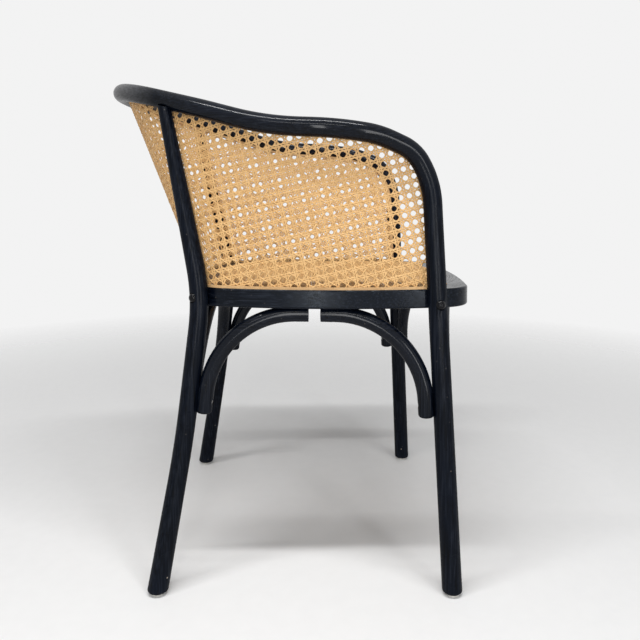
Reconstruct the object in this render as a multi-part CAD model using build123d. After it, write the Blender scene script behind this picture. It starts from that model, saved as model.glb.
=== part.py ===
from build123d import *
import os
from math import cos, degrees, radians, sin, sqrt, tan

# A bentwood armchair with a cane seat, and a cane back that wraps from front leg to front leg.
# Millimetres. The chair faces -Y and +Z is up. The origin is on the floor, under the middle of its box.
# Left and right are the sitter's: left is +X. Pieces are made on the left and mirrored to the right.

# Overall sizes
OVERALL_DEPTH = 600.0  # front of the seat ring to the back of the rail
SEAT_HEIGHT = 453.0  # floor to the top of the seat ring
ARM_HEIGHT = 690.0  # floor to the centre line of the arm where it is widest
BACK_RISE = 79.0  # from there up to the centre line at the middle of the back
ARM_SPREAD = 473.0  # between the arms' centre lines where they are widest

# Seat ring: four shallow arcs, joined by round corners
SEAT_WIDTH = 453.0
SEAT_DEPTH = 450.0
RING_WIDTH = 42.0
RING_THICKNESS = 29.0
RING_EDGE_RADIUS = 3.0
RING_WIDEST_SETBACK = 192.0  # behind the seat's front edge
RING_SIDE_RADIUS = 753.0
RING_FRONT_RADIUS = 1200.0
RING_REAR_RADIUS = 820.0
RING_FRONT_CORNER = 54.0
RING_REAR_CORNER = 62.0
SMALLEST_CORNER = 3.0  # a corner's radius where it is set far in

# Bent rail: one round rod from the left front foot to the right one
RAIL_DIAMETER = 28.5
FRONT_FOOT_DIAMETER = 30.0
FRONT_LEG_SETBACK = 71.0  # leg axis behind the seat's front edge, at the ring
FRONT_LEG_PROUD = 6.5  # leg axis outside the ring's edge
FRONT_FOOT_SPREAD = 498.0
FRONT_FOOT_ADVANCE = 21.5  # foot ahead of the leg axis at the ring
LEG_BEND_DROP = 80.0  # the leg starts to bend this far below the arm
LEG_BEND_RADIUS = 130.0
# The arm's bends as far as the last one before the back: draw-in from the arm's widest half width,
# run back from the top of the leg, rise above the arm, radius of the bend
ARM_BENDS = [
    (21.5, 26.0, -31.5, 60.0),
    (13.0, 80.0, -8.0, 140.0),
    (0.0, 142.0, 0.3, 220.0),
    (14.0, 246.0, 4.5, 300.0),
    (57.0, 346.0, 34.5, 850.0),
]
BACK_BEND_SPREAD = 205.0  # between the corners that the back's two bends round off
BACK_FLAT = 8.0  # straight run in the middle of the back, between those bends

# Rear legs: a tapered foot, a slight knee, a bend at the ring, a tapered top under the rail
REAR_FOOT_DIAMETER = 31.0
REAR_LEG_DIAMETER = 28.0
REAR_TOP_DIAMETER = 19.5
REAR_FOOT_SPREAD = 473.0
REAR_FOOT_SETBACK = 38.0  # foot behind the ring's rear edge
REAR_KNEE_HEIGHT = 220.0
REAR_KNEE_INSET = 10.0  # knee inside the straight line from the ring to the foot
REAR_KNEE_RADIUS = 1200.0
REAR_LEG_ANGLE = 45.0  # place on the ring's round rear corner, from the X axis
REAR_LEG_NOTCH = 0.7  # how far the leg is cut back to seat on the ring
REAR_BEND_RADIUS = 300.0
REAR_TOP_RUN = 69.0  # along the rail from its last arm bend to the leg's top
REAR_TOP_OUT = 6.0  # leg axis outside the rail's axis, clear of the cane
REAR_SHOULDER = 10.5  # the top of the leg's outer side, below the rail's axis
FOOT_EDGE_RADIUS = 4.0
FOOT_SPARE = 10.0  # length below the feet that is cut off level

# Brackets: quarter arcs of round rod, planed flat under the ring and hollowed against the leg
BRACKET_DIAMETER = 24.0
BRACKET_FLAT = 1.5
BRACKET_HOLLOW = 1.5
FRONT_BRACKET_REACH = 174.5
REAR_BRACKET_REACH = 166.0
BRACKET_DROP = 152.0
BRACKET_BEND_RADIUS = 135.0
BRACKET_END_RADIUS = 5.0

# Cane and the reeds that hold its edges
CANE_THICKNESS = 1.6
CANE_RING_INSET = 5.2  # middle of the back cane inside the ring's edge
CANE_RING_DEPTH = 4.8
CANE_LEG_SETBACK = 5.0  # front edge of the cane behind the front leg's axis, at the ring
CANE_RAIL_INSET = 6.0  # middle of the back cane inside the rail's axis
CANE_RAIL_EDGE = 8.0  # the cane's upper edge below the rail's axis
CANE_SINK_RUN = 160.0  # length of rail above the leg over which the cane comes to that inset
# The back cane is made of straight lines. Their places on the left side: part of the way along the rail
# from the leg's bend to the middle of the back, and part of the way round the ring
CANE_LINES = [
    (0.0, 0.0),
    (0.22, 0.06),
    (0.32, 0.22),
    (0.42, 0.45),
    (0.52, 0.585),
    (0.76, 0.645),
    (0.88, 0.70),
    (0.95, 0.80),
    (1.0, 1.0),
]
CANE_STEPS = 8  # lines from one of those places to the next
CANE_SWING = 60.0  # how strongly the cane's edge in the rail faces along the ring
FACING_ROUNDS = 3  # rounds in which that edge settles on its direction
REED_THICKNESS = 2.2
REED_LEG_RISE = 6.0  # front end of the rail's reed above the ring
REED_RING_SHOW = 3.5
REED_RAIL_LENGTH = 6.0
GROOVE_REACH = 22.0  # the rail groove's cutter runs this far past the cane's edge, out of the wood
GROOVE_OVERRUN = 2.0  # the rail's groove runs down the leg to this far below the ring's top
# Openings of the cane: a coarse grid of octagons in place of the weave's fine holes
SEAT_OPENINGS = 11  # across the seat
SEAT_OPENING_WIDTH = 19.0
BACK_OPENING_ROWS = 6
BACK_OPENING_PITCH = 43.0  # along a row
BACK_OPENING_WIDTH = 24.0
BACK_OPENING_BAR = 6.0  # least width of cane left between an opening and the next, or an edge
BACK_ROWS_LOW = 0.02  # the rows' lower and upper limits, as parts of the way up the sheet
BACK_ROWS_HIGH = 0.94
SEAT_GROOVE_INSET = 31.0
SEAT_GROOVE_DEPTH = 6.5
SEAT_REED_WIDTH = 3.0
SEAT_REED_SHOW = 1.2

# Fasteners and glides
FRONT_BOLT_RISE = 7.5  # above the ring's underside
BOLT_DIAMETER = 6.0
BOLT_HEAD_DIAMETER = 15.0
BOLT_HEAD_HEIGHT = 5.0
BOLT_END = 1.5
SPOT_FACE_DEPTH = 1.5
WASHER_DIAMETER = 13.0
WASHER_THICKNESS = 1.2
NUT_ACROSS_CORNERS = 11.5
NUT_THICKNESS = 5.0
SCREW_DIAMETER = 4.0
SCREW_HEAD_DIAMETER = 8.0
SCREW_HEAD_HEIGHT = 2.6
SCREW_SINK = 1.0
SCREW_BITE = 14.0
SCREW_POINT = 4.0
SCREW_TIP_RADIUS = 0.5
LEG_SCREW_RISE = 18.0  # above the bracket's lower end
SEAT_SCREW_INSET = 20.0  # from the bracket's square end
DOWEL_DIAMETER = 7.0
DOWEL_LEG_DEPTH = 16.0
DOWEL_RAIL_DEPTH = 10.0
GLIDE_DIAMETER = 20.0
GLIDE_HEIGHT = 3.5
GLIDE_EDGE_RADIUS = 1.2
GLIDE_PIN_DIAMETER = 3.0
GLIDE_PIN_LENGTH = 14.0

# Clearances
CLEARANCE = 0.3  # between curved faces that seat on each other
HOLE_CLEARANCE = 0.15  # round a pin, screw, bolt or dowel
CANE_CLEARANCE = 0.3  # round the cane and the reeds in their grooves
REED_CLEARANCE = 0.42  # between the back cane, which twists, and a reed beside it

# Levels and lines that the pieces share
SEAT_FRONT = -OVERALL_DEPTH / 2
SEAT_REAR = SEAT_FRONT + SEAT_DEPTH
RING_BOTTOM = SEAT_HEIGHT - RING_THICKNESS
RING_MIDDLE = SEAT_HEIGHT - RING_THICKNESS / 2
RAIL_RADIUS = RAIL_DIAMETER / 2
BRACKET_LEVEL = RING_BOTTOM - BRACKET_DIAMETER / 2 + BRACKET_FLAT
SIDE_CENTRE = Vector(SEAT_WIDTH / 2 - RING_SIDE_RADIUS, SEAT_FRONT + RING_WIDEST_SETBACK)
FRONT_CENTRE = Vector(0, SEAT_FRONT + RING_FRONT_RADIUS)
REAR_CENTRE = Vector(0, SEAT_REAR - RING_REAR_RADIUS)
REED_NEAR = CANE_THICKNESS / 2 + REED_CLEARANCE  # a reed's near face, from the middle of the cane
GROOVE_FAR = REED_NEAR + REED_THICKNESS + CANE_CLEARANCE
UP = Vector(0, 0, 1)
FAR = 2000.0  # larger than the chair, for cutting away whole sides


def flipped(point):
    """The same point on the other side of the chair."""
    return Vector(-point.X, point.Y, point.Z)


def raised(point, height):
    """A plan point at a height."""
    return Vector(point.X, point.Y, height)


def on_circle(centre, radius, towards):
    """Point of a plan circle in the direction of another point."""
    return centre + (towards - centre).normalized() * radius


def circles_meet(first, first_radius, second, second_radius):
    """Crossing of two plan circles on the left side of the chair."""
    gap = second - first
    along = (first_radius**2 - second_radius**2 + gap.length**2) / (2 * gap.length)
    across = sqrt(first_radius**2 - along**2)
    side = Vector(-gap.Y, gap.X).normalized() * across
    middle = first + gap.normalized() * along
    return max(middle + side, middle - side, key=lambda point: point.X)


# Seat ring outline


def ring_corner(inset, end_centre, end_radius, corner_radius):
    """A corner's arc: its point on the side, its middle, its point on the end, and its centre."""
    radius = max(corner_radius - inset, SMALLEST_CORNER)
    side_reach = RING_SIDE_RADIUS - inset
    end_reach = end_radius - inset
    centre = circles_meet(SIDE_CENTRE, side_reach - radius, end_centre, end_reach - radius)
    on_side = on_circle(SIDE_CENTRE, side_reach, centre)
    on_end = on_circle(end_centre, end_reach, centre)
    middle = on_circle(centre, radius, (on_side + on_end) / 2)
    return on_side, middle, on_end, centre


def ring_outline(inset):
    """The seat ring's outline, drawn in by the same amount all round."""
    front_side, front_turn, front_end, _ = ring_corner(
        inset, FRONT_CENTRE, RING_FRONT_RADIUS, RING_FRONT_CORNER
    )
    rear_side, rear_turn, rear_end, _ = ring_corner(
        inset, REAR_CENTRE, RING_REAR_RADIUS, RING_REAR_CORNER
    )
    side_middle = Vector(SEAT_WIDTH / 2 - inset, SIDE_CENTRE.Y)
    left = [
        (front_end, front_turn, front_side),
        (front_side, side_middle, rear_side),
        (rear_side, rear_turn, rear_end),
    ]
    right = [tuple(flipped(point) for point in reversed(arc)) for arc in reversed(left)]
    rear = (rear_end, Vector(0, SEAT_REAR - inset), flipped(rear_end))
    front = (flipped(front_end), Vector(0, SEAT_FRONT + inset), front_end)
    return make_face([ThreePointArc(*arc) for arc in left + [rear] + right + [front]])


def ring_band(outer_inset, inner_inset, low, high):
    """A band that follows the ring between two insets and two heights."""
    band = ring_outline(outer_inset) - ring_outline(inner_inset)
    return Pos(0, 0, low) * extrude(band, high - low)


def ring_plate(inset, low, high):
    """A plate of the ring's outline between two heights."""
    return Pos(0, 0, low) * extrude(ring_outline(inset), high - low)


def side_edge(depth, inset=0.0):
    """Point on the left side of the ring's outline at a place front to back."""
    reach = RING_SIDE_RADIUS - inset
    return Vector(SIDE_CENTRE.X + sqrt(reach**2 - (depth - SIDE_CENTRE.Y) ** 2), depth)


def end_edge(across, inset, centre, radius, sign):
    """Point on the front or rear arc of the ring's outline at a place side to side."""
    return Vector(across, centre.Y + sign * sqrt((radius - inset) ** 2 - across**2))


# Axes of the rods


FRONT_LEG_EDGE = side_edge(SEAT_FRONT + FRONT_LEG_SETBACK)
FRONT_OUTWARD = (FRONT_LEG_EDGE - SIDE_CENTRE).normalized()
FRONT_LEG_AT_RING = raised(FRONT_LEG_EDGE + FRONT_OUTWARD * FRONT_LEG_PROUD, RING_MIDDLE)
FRONT_FOOT = Vector(FRONT_FOOT_SPREAD / 2, FRONT_LEG_AT_RING.Y - FRONT_FOOT_ADVANCE, GLIDE_HEIGHT)
FRONT_LEG_UP = (FRONT_LEG_AT_RING - FRONT_FOOT).normalized()


def front_leg_axis(height):
    """Point on the front leg's axis at a height."""
    return FRONT_FOOT + FRONT_LEG_UP * ((height - GLIDE_HEIGHT) / FRONT_LEG_UP.Z)


LEG_BEND = front_leg_axis(ARM_HEIGHT - LEG_BEND_DROP)
ARM_CORNERS = [
    Vector(ARM_SPREAD / 2 - draw_in, LEG_BEND.Y + run, ARM_HEIGHT + rise)
    for draw_in, run, rise, _ in ARM_BENDS
]
BACK_CORNER = Vector(BACK_BEND_SPREAD / 2, OVERALL_DEPTH / 2 - RAIL_RADIUS, ARM_HEIGHT + BACK_RISE)
RAIL_RUN = (BACK_CORNER - ARM_CORNERS[-1]).normalized()
BACK_TURN = radians(RAIL_RUN.get_angle(Vector(-1, 0, 0)))
BACK_BEND_RADIUS = (BACK_BEND_SPREAD - BACK_FLAT) / 2 / tan(BACK_TURN / 2)
RAIL_CORNERS = [FRONT_FOOT, LEG_BEND, *ARM_CORNERS, BACK_CORNER]
RAIL_RADII = [LEG_BEND_RADIUS, *[bend[-1] for bend in ARM_BENDS], BACK_BEND_RADIUS]
RAIL_LINE = FilletPolyline(
    *RAIL_CORNERS,
    *[flipped(corner) for corner in reversed(RAIL_CORNERS)],
    radius=RAIL_RADII + RAIL_RADII[::-1],
)


def ring_half_line(inset):
    """The ring's outline from beside the left front leg to the middle of the back."""
    rear_side, rear_turn, rear_end, _ = ring_corner(
        inset, REAR_CENTRE, RING_REAR_RADIUS, RING_REAR_CORNER
    )
    start = side_edge(FRONT_LEG_AT_RING.Y + CANE_LEG_SETBACK, inset)
    side_middle = Vector(SEAT_WIDTH / 2 - inset, SIDE_CENTRE.Y)
    rear_middle = end_edge(rear_end.X / 2, inset, REAR_CENTRE, RING_REAR_RADIUS, 1)
    arcs = [
        ThreePointArc(start, side_middle, rear_side),
        ThreePointArc(rear_side, rear_turn, rear_end),
        ThreePointArc(rear_end, rear_middle, Vector(0, SEAT_REAR - inset)),
    ]
    return Pos(0, 0, SEAT_HEIGHT) * Wire(arcs)


def rail_frame(point, along, ring_point):
    """Directions at the rail: inward across the cane, and down along the cane."""
    inward = along.cross(ring_point - point).normalized()
    return inward, inward.cross(along)


CANE_RING_LINE = ring_half_line(CANE_RING_INSET)
LEG_LENGTH = RAIL_LINE.edges()[0].length
LEG_INWARD = FRONT_LEG_UP.cross(CANE_RING_LINE % 0).normalized()
LEG_BACK = LEG_INWARD.cross(FRONT_LEG_UP)
CANE_START = CANE_RING_LINE @ 0 - front_leg_axis(SEAT_HEIGHT)
CANE_LEG_INSET = CANE_START.dot(LEG_INWARD)
CANE_LEG_EDGE = CANE_START.dot(LEG_BACK)


class CaneLine:
    """One straight line of the back cane, from its groove in the ring to its groove in the rail."""

    def __init__(self, rail_part, ring_part):
        place = rail_part * (RAIL_LINE.length / 2 - LEG_LENGTH)
        rail_point = RAIL_LINE.position_at(LEG_LENGTH + place, position_mode=PositionMode.LENGTH)
        along = RAIL_LINE.tangent_at(LEG_LENGTH + place, position_mode=PositionMode.LENGTH)
        ring_along = CANE_RING_LINE % ring_part
        self.ring_point = CANE_RING_LINE @ ring_part
        run = min(1.0, place / CANE_SINK_RUN)
        sunk = run**3 * (10 - 15 * run + 6 * run**2)
        inset = CANE_LEG_INSET + (CANE_RAIL_INSET - CANE_LEG_INSET) * sunk
        edge = CANE_LEG_EDGE + (CANE_RAIL_EDGE - CANE_LEG_EDGE) * sunk
        self.rail_end = rail_point + LEG_INWARD * inset + LEG_BACK * edge
        for _ in range(FACING_ROUNDS):
            facing = self.ring_point - self.rail_end + ring_along * CANE_SWING
            self.rail_inward = along.cross(facing).normalized()
            self.down = self.rail_inward.cross(along)
            self.rail_end = rail_point + self.rail_inward * inset + self.down * edge
        rise = self.rail_end - self.ring_point
        rise = (rise - ring_along * rise.dot(ring_along)).normalized()
        self.ring_end = self.ring_point - rise * CANE_RING_DEPTH

    def face_inward(self, before, after):
        """Set the directions through the cane and along it, from the lines beside this one."""
        slope = self.rail_end - self.ring_end
        rail_span = after.rail_end - before.rail_end
        ring_span = after.ring_point - before.ring_point
        self.across = slope.cross(rail_span + ring_span).normalized()
        self.ring_inward = slope.cross(ring_span).normalized()
        self.rise = ring_span.cross(self.ring_inward).normalized()
        self.rail_inward = slope.cross(rail_span).normalized()
        self.down = self.rail_inward.cross(rail_span).normalized()

    def twin(self):
        """The same line on the right side."""
        other = CaneLine.__new__(CaneLine)
        for name, value in self.__dict__.items():
            setattr(other, name, flipped(value))
        return other


def cane_lines():
    """The left side's straight lines of the back cane, from the front leg to the middle of the back."""
    lines = [CaneLine(*CANE_LINES[0])]
    for (rail_from, ring_from), (rail_to, ring_to) in zip(CANE_LINES, CANE_LINES[1:]):
        for step in range(1, CANE_STEPS + 1):
            part = step / CANE_STEPS
            rail_part = rail_from + (rail_to - rail_from) * part
            lines.append(CaneLine(rail_part, ring_from + (ring_to - ring_from) * part))
    row = [lines[0], *lines, lines[-2].twin()]
    for before, line, after in zip(row, row[1:], row[2:]):
        line.face_inward(before, after)
    return lines


LEFT_LINES = cane_lines()


def lofted_half(sections, outer, inner):
    """A strip through four-cornered sections: two ends, and two offsets along a direction inward."""
    faces = []
    for low, high, inward in sections:
        corners = [low + inward * outer, low + inward * inner, high + inward * inner, high + inward * outer]
        faces.append(make_face(Polyline(*corners, close=True)))
    return loft(faces, ruled=True)


def lofted_strip(left_sections, outer, inner):
    """Such a strip over both sides of the chair."""
    right = [[flipped(value) for value in section] for section in reversed(left_sections[:-1])]
    return lofted_half(left_sections + right, outer, inner)


def rail_sections(leg_start, above, below):
    """Sections along the cane's edge in the rail, from a height on the leg to the middle of the back."""
    leg_top = LEFT_LINES[0].rail_end
    leg_end = leg_top - FRONT_LEG_UP * ((leg_top.Z - leg_start) / FRONT_LEG_UP.Z)
    sections = [(leg_end + LEG_BACK * below, leg_end - LEG_BACK * above, LEG_INWARD)]
    for line in LEFT_LINES:
        end = line.rail_end
        sections.append((end + line.down * below, end - line.down * above, line.rail_inward))
    return sections


def ring_sections(lines, below, above):
    """Sections along the cane's edge in the ring."""
    return [
        (line.ring_end - line.rise * below, line.ring_point + line.rise * above, line.ring_inward)
        for line in lines
    ]


def octagon(width):
    """An eight-sided opening with two sides level."""
    return RegularPolygon(width / 2, 8, major_radius=False, rotation=180 / 8)


def back_opening_planes():
    """Where the left side's openings lie: in rows, from the middle of the back to the front leg."""
    planes = []
    lines = LEFT_LINES[::-1]
    least_bar = BACK_OPENING_WIDTH + BACK_OPENING_BAR
    for row in range(BACK_OPENING_ROWS):
        part = BACK_ROWS_LOW + (BACK_ROWS_HIGH - BACK_ROWS_LOW) * (row + 0.5) / BACK_OPENING_ROWS
        reach = BACK_OPENING_PITCH / 2
        front = lines[-1].ring_point + (lines[-1].rail_end - lines[-1].ring_point) * part
        for near, far in zip(lines, lines[1:]):
            slope = far.rail_end - far.ring_point
            start = near.ring_point + (near.rail_end - near.ring_point) * part
            step = far.ring_point + slope * part - start
            while reach < step.length:
                place = start + step.normalized() * reach
                row_gap = slope.length * (BACK_ROWS_HIGH - BACK_ROWS_LOW) / BACK_OPENING_ROWS
                if row_gap > least_bar and (front - place).length > least_bar:
                    planes.append(Plane(place, x_dir=step, z_dir=step.cross(slope)))
                reach += BACK_OPENING_PITCH
            reach -= step.length
    return planes


def back_cane():
    """The back cane's sheet with its openings."""
    sections = [(line.ring_end, line.rail_end, line.across) for line in LEFT_LINES]
    half = lofted_half(sections, -CANE_THICKNESS / 2, CANE_THICKNESS / 2)
    cutter = extrude(octagon(BACK_OPENING_WIDTH), BACK_OPENING_BAR, both=True)
    half -= [plane * cutter for plane in back_opening_planes()]
    return half + mirror(half, about=Plane.YZ)


def ring_reed():
    """The reed outside the cane's lower edge, wedged into the ring behind the front legs."""
    start = FRONT_LEG_AT_RING.Y + FRONT_FOOT_DIAMETER / 2
    lines = [line for line in LEFT_LINES if line.ring_point.Y > start]
    return lofted_strip(ring_sections(lines, 0.0, REED_RING_SHOW), -REED_NEAR - REED_THICKNESS, -REED_NEAR)


def rail_reed():
    """The reed inside the cane's front and upper edges, wedged into the rail."""
    sections = rail_sections(SEAT_HEIGHT + REED_LEG_RISE, 0.0, REED_RAIL_LENGTH)
    return lofted_strip(sections, REED_NEAR, REED_NEAR + REED_THICKNESS)


def ring_groove():
    """Room for the cane and its reed in the ring, open at the top."""
    sections = ring_sections(LEFT_LINES, CANE_CLEARANCE, CANE_RING_DEPTH)
    return lofted_strip(sections, -GROOVE_FAR, CANE_THICKNESS / 2 + CANE_CLEARANCE)


def rail_groove():
    """Room for the cane and its reed in the rail, open on the side that faces the cane."""
    sections = rail_sections(SEAT_HEIGHT - GROOVE_OVERRUN, CANE_CLEARANCE, GROOVE_REACH)
    return lofted_strip(sections, -CANE_THICKNESS / 2 - CANE_CLEARANCE, GROOVE_FAR)


# Round rods


def tapered_rod(start, end, start_radius, end_radius):
    """A round rod with two end radii along a straight line."""
    along = end - start
    rod = Cone(start_radius, end_radius, along.length, align=(Align.CENTER, Align.CENTER, Align.MIN))
    return Plane(start, z_dir=along) * rod


def straight_rod(start, end, radius):
    """A round rod along a straight line."""
    along = end - start
    rod = Cylinder(radius, along.length, align=(Align.CENTER, Align.CENTER, Align.MIN))
    return Plane(start, z_dir=along) * rod


def rod_along(edges, radius):
    """A round rod along joined lines and arcs."""
    stretches = []
    for edge in edges:
        if edge.geom_type == GeomType.LINE:
            stretches.append(straight_rod(edge @ 0, edge @ 1, radius))
        else:
            centre = edge.arc_center
            turn_axis = Axis(centre, (edge @ 0 - centre).cross(edge @ 0.5 - centre))
            start = Plane(edge @ 0, z_dir=edge % 0) * Circle(radius)
            stretches.append(revolve(start, turn_axis, degrees(edge.length / edge.radius)))
    return Part() + stretches


def flat_foot(rod):
    """A leg cut off level above its floor glide, with a round edge."""
    rod -= Pos(0, 0, GLIDE_HEIGHT - FAR / 2) * Box(FAR, FAR, FAR)
    return fillet(rod.edges().sort_by(Axis.Z)[0], FOOT_EDGE_RADIUS)


def rounded_end(rod, end, radius):
    """The rod with the edge of one end rounded."""
    rims = [edge for edge in rod.edges() if edge.geom_type == GeomType.CIRCLE]
    return fillet([min(rims, key=lambda edge: (edge.arc_center - end).length)], radius)


def front_leg(spare):
    """The straight, tapered part of the left front leg, from below the foot to the rail's first bend."""
    line = RAIL_LINE.edges()[0]
    start = line @ 0 - FRONT_LEG_UP * FOOT_SPARE
    return tapered_rod(start, line @ 1, FRONT_FOOT_DIAMETER / 2 + spare, RAIL_RADIUS + spare)


REAR_CORNER_CENTRE = ring_corner(0.0, REAR_CENTRE, RING_REAR_RADIUS, RING_REAR_CORNER)[-1]
REAR_OUTWARD = Vector(cos(radians(REAR_LEG_ANGLE)), sin(radians(REAR_LEG_ANGLE)))
REAR_LEG_PROUD = REAR_LEG_DIAMETER / 2 - REAR_LEG_NOTCH
REAR_LEG_AT_RING = raised(
    REAR_CORNER_CENTRE + REAR_OUTWARD * (RING_REAR_CORNER + REAR_LEG_PROUD), RING_MIDDLE
)
REAR_FOOT = Vector(REAR_FOOT_SPREAD / 2, SEAT_REAR + REAR_FOOT_SETBACK, GLIDE_HEIGHT)
KNEE_PART = (REAR_KNEE_HEIGHT - GLIDE_HEIGHT) / (RING_MIDDLE - GLIDE_HEIGHT)
REAR_KNEE = REAR_FOOT + (REAR_LEG_AT_RING - REAR_FOOT) * KNEE_PART - REAR_OUTWARD * REAR_KNEE_INSET
REAR_TOP_ON_RAIL = ARM_CORNERS[-1] + RAIL_RUN * REAR_TOP_RUN
RAIL_INWARD, RAIL_DOWN = rail_frame(REAR_TOP_ON_RAIL, RAIL_RUN, REAR_LEG_AT_RING)
REAR_TOP = REAR_TOP_ON_RAIL - RAIL_INWARD * REAR_TOP_OUT


def rear_leg_bend():
    """Corner that the rear leg's bend rounds off, so that its arc passes its place at the ring."""
    to_knee = (REAR_KNEE - REAR_LEG_AT_RING).normalized()
    to_top = (REAR_TOP - REAR_LEG_AT_RING).normalized()
    half_turn = radians(180 - to_knee.get_angle(to_top)) / 2
    return REAR_LEG_AT_RING - (to_knee + to_top).normalized() * REAR_BEND_RADIUS * (1 / cos(half_turn) - 1)


REAR_BEND = rear_leg_bend()
REAR_LEG_UP = (REAR_BEND - REAR_KNEE).normalized()
REAR_TOP_UP = (REAR_TOP - REAR_BEND).normalized()
REAR_LINE = FilletPolyline(
    REAR_FOOT, REAR_KNEE, REAR_BEND, REAR_TOP, radius=[REAR_KNEE_RADIUS, REAR_BEND_RADIUS]
)


def rear_rod(spare):
    """The left rear leg's rod, whole, from below the foot to beside the rail's axis."""
    lower, *middle, upper = REAR_LINE.edges()
    start = lower @ 0 - (lower % 0) * FOOT_SPARE
    rod = tapered_rod(start, lower @ 1, REAR_FOOT_DIAMETER / 2 + spare, REAR_LEG_DIAMETER / 2 + spare)
    rod += rod_along(middle, REAR_LEG_DIAMETER / 2 + spare)
    rod += tapered_rod(upper @ 0, upper @ 1, REAR_LEG_DIAMETER / 2 + spare, REAR_TOP_DIAMETER / 2 + spare)
    return rod


def rear_leg_axis(height):
    """Point at a height on the rear leg's line from its knee to its bend."""
    return REAR_KNEE + REAR_LEG_UP * ((height - REAR_KNEE_HEIGHT) / REAR_LEG_UP.Z)


# Fasteners, made along +Z from their heads, then placed


def placed(shape, start, along):
    """A shape made along +Z, set at a point along a direction."""
    return Plane(start, z_dir=along) * shape


def wood_screw(length, spare):
    """A countersunk wood screw, or the hole for it."""
    radius = SCREW_DIAMETER / 2 + spare
    foot = (Align.CENTER, Align.CENTER, Align.MIN)
    screw = Cylinder(radius, length - SCREW_POINT, align=foot)
    screw += Cone(SCREW_HEAD_DIAMETER / 2 + spare, radius, SCREW_HEAD_HEIGHT, align=foot)
    screw += Pos(0, 0, length - SCREW_POINT) * Cone(radius, SCREW_TIP_RADIUS, SCREW_POINT + spare, align=foot)
    return screw


def screw_hole(length):
    """A screw's hole with the open way to its countersunk head."""
    radius = SCREW_HEAD_DIAMETER / 2 + HOLE_CLEARANCE
    mouth = Cylinder(radius, BRACKET_DIAMETER, align=(Align.CENTER, Align.CENTER, Align.MAX))
    return wood_screw(length, HOLE_CLEARANCE) + mouth


def leg_bolt(length):
    """A dome-headed bolt with the underside of its head at the start."""
    dome_radius = ((BOLT_HEAD_DIAMETER / 2) ** 2 + BOLT_HEAD_HEIGHT**2) / (2 * BOLT_HEAD_HEIGHT)
    dome = Pos(0, 0, dome_radius - BOLT_HEAD_HEIGHT) * Sphere(dome_radius)
    dome = split(dome, Plane.XY, keep=Keep.BOTTOM)
    return dome + Cylinder(BOLT_DIAMETER / 2, length, align=(Align.CENTER, Align.CENTER, Align.MIN))


class LegBolt:
    """One leg's bolt with its washer and nut, and the hole that they need."""

    def __init__(self, axis_point, outward, leg_radius, proud):
        self.inward = outward * -1
        self.start = axis_point + outward * (leg_radius - SPOT_FACE_DEPTH)
        self.washer_place = axis_point - outward * (proud + RING_WIDTH - SPOT_FACE_DEPTH)
        self.nut_place = self.washer_place + self.inward * WASHER_THICKNESS
        grip = (self.nut_place - self.start).length
        self.length = grip + NUT_THICKNESS + BOLT_END

    def bolt(self):
        return placed(leg_bolt(self.length), self.start, self.inward)

    def washer(self):
        foot = (Align.CENTER, Align.CENTER, Align.MIN)
        disc = Cylinder(WASHER_DIAMETER / 2, WASHER_THICKNESS, align=foot)
        hole = Cylinder(BOLT_DIAMETER / 2 + HOLE_CLEARANCE, WASHER_THICKNESS, align=foot)
        return placed(disc - hole, self.washer_place, self.inward)

    def nut(self):
        block = extrude(RegularPolygon(NUT_ACROSS_CORNERS / 2, 6), NUT_THICKNESS)
        hole = Cylinder(BOLT_DIAMETER / 2 + HOLE_CLEARANCE, NUT_THICKNESS * 2)
        return placed(block - hole, self.nut_place, self.inward)

    def hole(self):
        shank = Cylinder(BOLT_DIAMETER / 2 + HOLE_CLEARANCE, self.length * 2)
        return placed(shank, self.start, self.inward)

    def head_face(self):
        head = Cylinder(
            BOLT_HEAD_DIAMETER / 2 + CLEARANCE, FAR, align=(Align.CENTER, Align.CENTER, Align.MAX)
        )
        return placed(head, self.start, self.inward)

    def washer_face(self):
        seat = Cylinder(
            WASHER_DIAMETER / 2 + CLEARANCE, RING_WIDTH, align=(Align.CENTER, Align.CENTER, Align.MIN)
        )
        return placed(seat, self.washer_place, self.inward)


def front_radius(height):
    """Radius of the tapered front leg at a height."""
    top_height = (RAIL_LINE.edges()[0] @ 1).Z
    part = (height - GLIDE_HEIGHT) / (top_height - GLIDE_HEIGHT)
    return (FRONT_FOOT_DIAMETER + (RAIL_DIAMETER - FRONT_FOOT_DIAMETER) * part) / 2


FRONT_BOLT_LEVEL = RING_BOTTOM + FRONT_BOLT_RISE
FRONT_BOLT = LegBolt(
    front_leg_axis(FRONT_BOLT_LEVEL), FRONT_OUTWARD, front_radius(FRONT_BOLT_LEVEL), FRONT_LEG_PROUD
)
REAR_BOLT = LegBolt(REAR_LEG_AT_RING, REAR_OUTWARD, REAR_LEG_DIAMETER / 2, REAR_LEG_PROUD)


def glide(foot):
    """A floor glide with its pin, under a foot."""
    disc = Cylinder(GLIDE_DIAMETER / 2, GLIDE_HEIGHT, align=(Align.CENTER, Align.CENTER, Align.MIN))
    disc = fillet(disc.edges().sort_by(Axis.Z)[0], GLIDE_EDGE_RADIUS)
    return Pos(foot.X, foot.Y, 0) * disc + glide_pin(foot, 0.0)


def glide_pin(foot, spare):
    """The pin of a floor glide, or the hole for it."""
    return straight_rod(foot, foot + UP * (GLIDE_PIN_LENGTH + spare), GLIDE_PIN_DIAMETER / 2 + spare)


def rear_dowel(spare):
    """The dowel between the left rear leg and the rail, or the hole for it."""
    offset_rise = sqrt(RAIL_RADIUS**2 - REAR_TOP_OUT**2)
    joint = REAR_TOP - REAR_TOP_UP * offset_rise
    low = joint - REAR_TOP_UP * (DOWEL_LEG_DEPTH + spare)
    high = joint + REAR_TOP_UP * (DOWEL_RAIL_DEPTH + spare)
    return straight_rod(low, high, DOWEL_DIAMETER / 2 + spare)


# Brackets


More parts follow.
